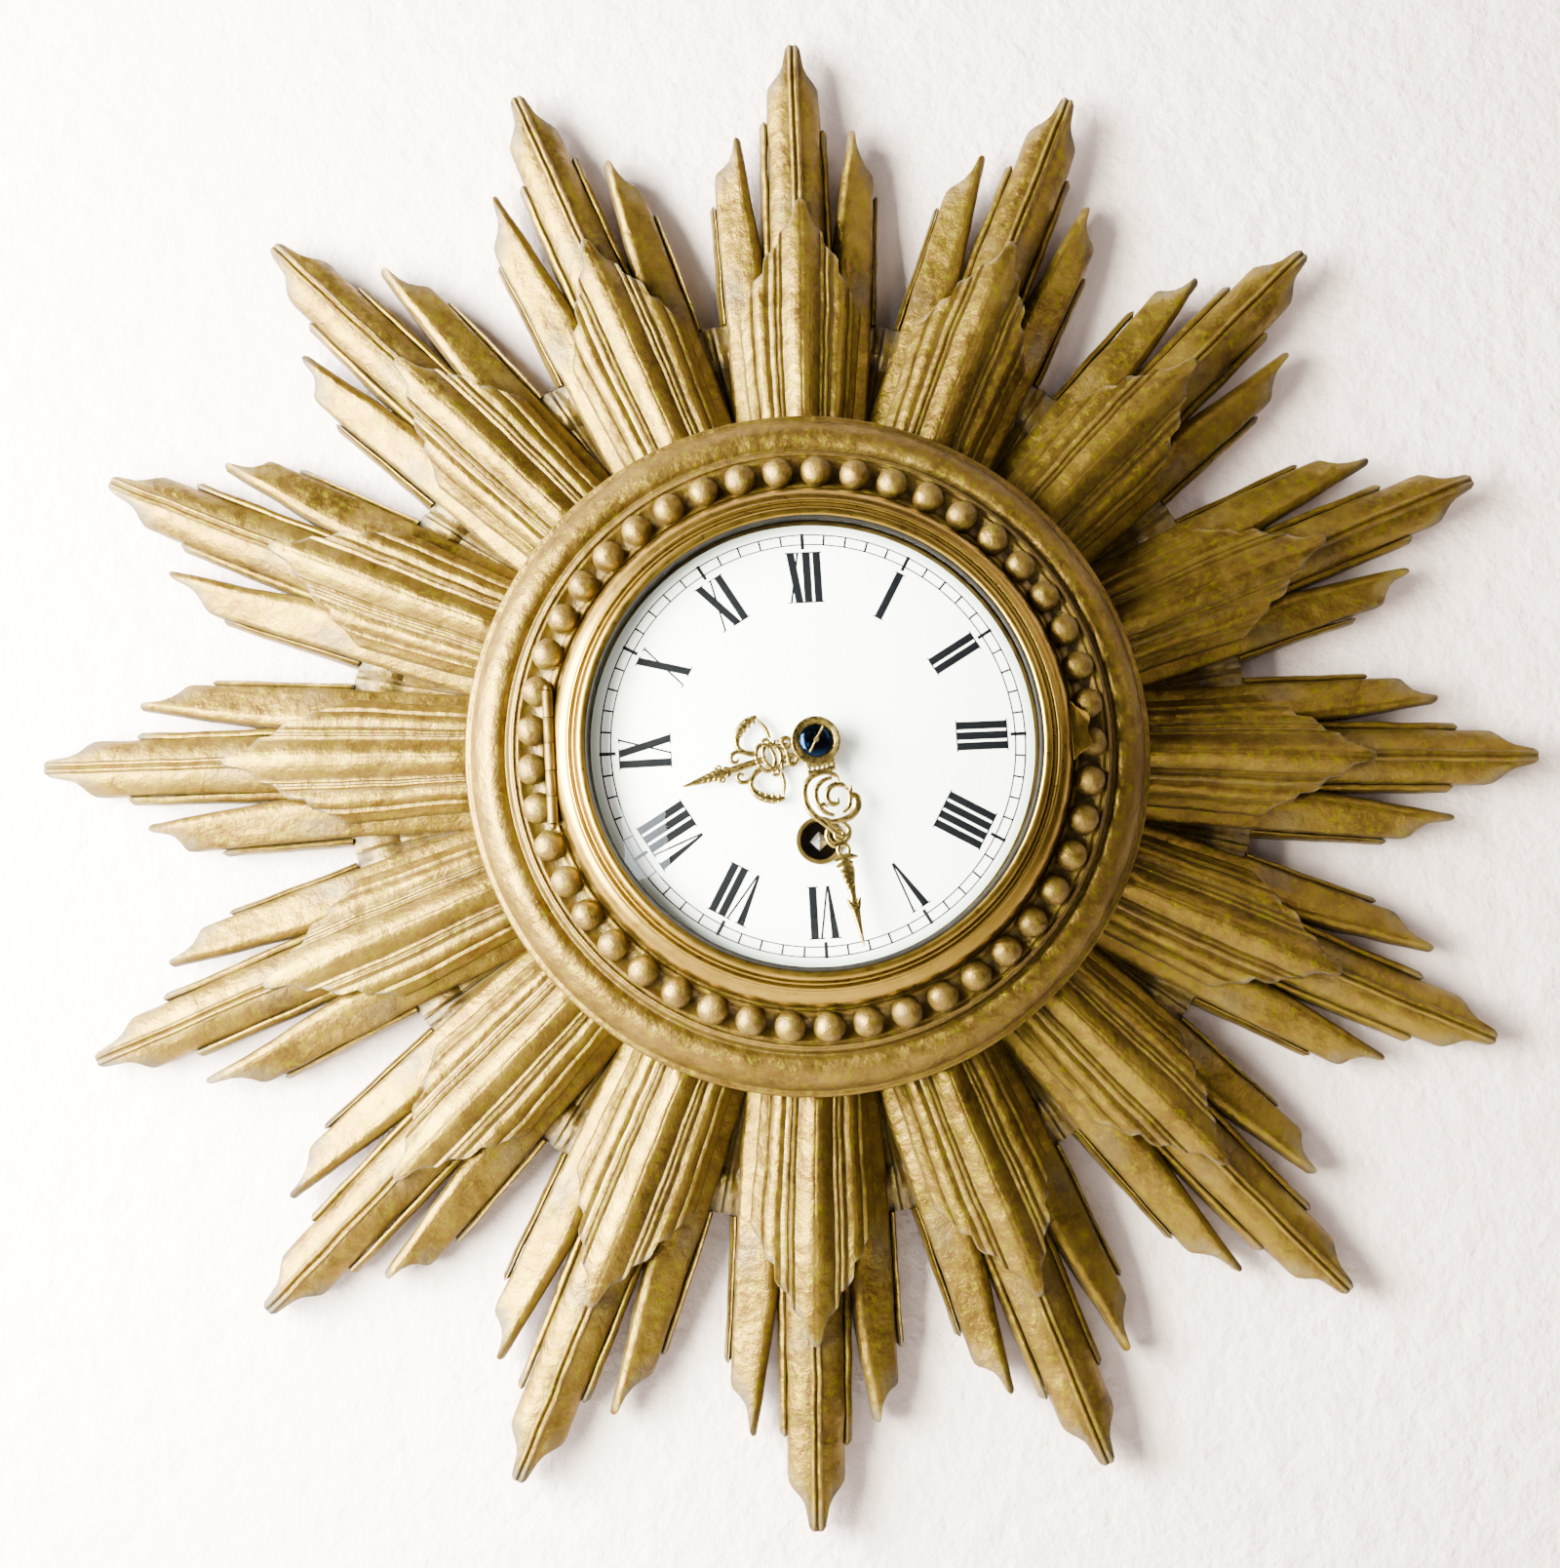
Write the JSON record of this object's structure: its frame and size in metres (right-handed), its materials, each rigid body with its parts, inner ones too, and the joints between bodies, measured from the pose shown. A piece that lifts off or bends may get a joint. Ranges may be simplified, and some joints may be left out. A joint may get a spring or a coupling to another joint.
{
  "type": "sunburst wall clock",
  "caption": "Round wall clock in a carved gilt sunburst of rays, with a domed hinged glass, a white Roman dial, openwork hands and a spring-driven movement with a balance.",
  "frame": {"origin": "centre of the dial's axis on the plane of the wall", "axes": "+Z towards 12 o'clock, +X to the right as seen from the front, -Y out of the wall towards the viewer"},
  "size_m": [0.4588, 0.0656, 0.4588],
  "materials": {
    "gilt_wood": "carved wood, old gilt paint",
    "bare_wood": "plain sawn wood",
    "steel": "plain steel",
    "blued_spring": "blued spring steel",
    "bezel_brass": "satin brass",
    "clock_brass": "polished brass",
    "enamel": "white enamel with painted numerals",
    "clear_glass": "clear domed glass",
    "gilt_hands": "gilt stamped brass"
  },
  "bodies": {
    "case": {"backboard": "bare_wood", "ray_block_01": "gilt_wood", "ray_block_02": "gilt_wood", "ray_block_03": "gilt_wood", "ray_block_04": "gilt_wood", "ray_block_05": "gilt_wood", "ray_block_06": "gilt_wood", "ray_block_07": "gilt_wood", "ray_block_08": "gilt_wood", "ray_block_09": "gilt_wood", "ray_block_10": "gilt_wood", "ray_block_11": "gilt_wood", "ray_block_12": "gilt_wood", "ray_block_13": "gilt_wood", "ray_block_14": "gilt_wood", "ray_block_15": "gilt_wood", "ray_block_16": "gilt_wood", "moulding_ring": "gilt_wood", "bead_row": "gilt_wood", "hanger_plate": "steel", "hanger_screws": "steel", "dial_pan": "clock_brass", "pan_screws": "steel", "movement_can": "clock_brass", "dial_enamel": "enamel", "winding_grommet": "clock_brass", "dial_feet": "clock_brass", "hinge_pin": "steel", "front_plate": "clock_brass", "back_plate": "clock_brass", "plate_pillars": "clock_brass", "plate_screws": "steel", "click_spring": "blued_spring", "hairspring": "blued_spring", "balance_cock": "clock_brass", "platform_plate": "clock_brass"},
    "bezel_door": {"bezel_ring": "bezel_brass", "bezel_glass": "clear_glass", "glass_retainer": "bezel_brass"},
    "back_lid": {"back_cover": "clock_brass"},
    "centre": {"centre_wheel": "clock_brass", "cannon_pinion": "steel", "minute_hand": "gilt_hands", "hand_collet": "gilt_hands", "taper_pin": "steel"},
    "hour": {"hour_wheel": "clock_brass", "hour_hand": "gilt_hands"},
    "minute_work": {"minute_wheel": "clock_brass"},
    "barrel": {"barrel_drum": "clock_brass", "barrel_cap": "clock_brass", "mainspring": "blued_spring"},
    "third": {"third_wheel": "clock_brass"},
    "fourth": {"fourth_wheel": "clock_brass"},
    "escape": {"escape_wheel": "clock_brass"},
    "winding": {"barrel_arbor": "steel", "ratchet_wheel": "steel"},
    "pawl": {"click": "steel"},
    "lever": {"pallet_lever": "steel"},
    "balance": {"balance_wheel": "clock_brass"},
    "regulator": {"regulator_index": "steel"}
  },
  "joints": [
    {"name": "minute_hand_turn", "type": "hinge", "parent": "case", "child": "centre", "pos_m": [0, -0.03, 0], "axis": [0, 1, 0], "continuous": true},
    {"name": "hour_hand_turn", "type": "hinge", "parent": "case", "child": "hour", "pos_m": [0, -0.045, 0], "axis": [0, 1, 0], "continuous": true},
    {"name": "minute_wheel_turn", "type": "hinge", "parent": "case", "child": "minute_work", "pos_m": [0.00919, -0.044, 0.00771], "axis": [0, 1, 0], "continuous": true},
    {"name": "barrel_turn", "type": "hinge", "parent": "case", "child": "barrel", "pos_m": [0, -0.03, -0.028], "axis": [0, 1, 0], "continuous": true},
    {"name": "third_wheel_turn", "type": "hinge", "parent": "case", "child": "third", "pos_m": [-0.01754, -0.025, 0.01013], "axis": [0, 1, 0], "continuous": true},
    {"name": "fourth_wheel_turn", "type": "hinge", "parent": "case", "child": "fourth", "pos_m": [-0.00304, -0.021, 0.01901], "axis": [0, 1, 0], "continuous": true},
    {"name": "escape_wheel_turn", "type": "hinge", "parent": "case", "child": "escape", "pos_m": [0.00996, -0.012, 0.0213], "axis": [0, 1, 0], "continuous": true},
    {"name": "winding_turn", "type": "hinge", "parent": "case", "child": "winding", "pos_m": [0, -0.043, -0.028], "axis": [0, 1, 0], "continuous": true},
    {"name": "click_lift", "type": "hinge", "parent": "case", "child": "pawl", "pos_m": [0.007, -0.043, -0.01588], "axis": [0, 1, 0], "range_deg": [0, 14], "stiffness_Nm_per_rad": 0.0001, "springref_deg": -5.73, "deforming": ["click_spring"]},
    {"name": "lever_swing", "type": "hinge", "parent": "case", "child": "lever", "pos_m": [0.01496, -0.0118, 0.0188], "axis": [0, 1, 0], "range_deg": [-3, 3]},
    {"name": "balance_swing", "type": "hinge", "parent": "case", "child": "balance", "pos_m": [0.02046, -0.0092, 0.0155], "axis": [0, 1, 0], "range_deg": [-135, 135]},
    {"name": "regulator_turn", "type": "hinge", "parent": "case", "child": "regulator", "pos_m": [0.02046, -0.0042, 0.0155], "axis": [0, 1, 0], "range_deg": [-20, 20]},
    {"name": "bezel_open", "type": "hinge", "parent": "case", "child": "bezel_door", "pos_m": [-0.0756, -0.0503, 0], "axis": [0, 0, -1], "range_deg": [0, 105]},
    {"name": "back_lid_pull", "type": "slide", "parent": "case", "child": "back_lid", "axis": [0, 1, 0], "range_m": [0, 0.03]}
  ],
  "couplings": [
    {"joint": "hour_hand_turn", "follows": "minute_hand_turn", "ratio": 0.083333},
    {"joint": "minute_wheel_turn", "follows": "minute_hand_turn", "ratio": -0.33333},
    {"joint": "barrel_turn", "follows": "minute_hand_turn", "ratio": -0.125},
    {"joint": "third_wheel_turn", "follows": "minute_hand_turn", "ratio": -8},
    {"joint": "fourth_wheel_turn", "follows": "minute_hand_turn", "ratio": 60},
    {"joint": "escape_wheel_turn", "follows": "minute_hand_turn", "ratio": -600}
  ]
}
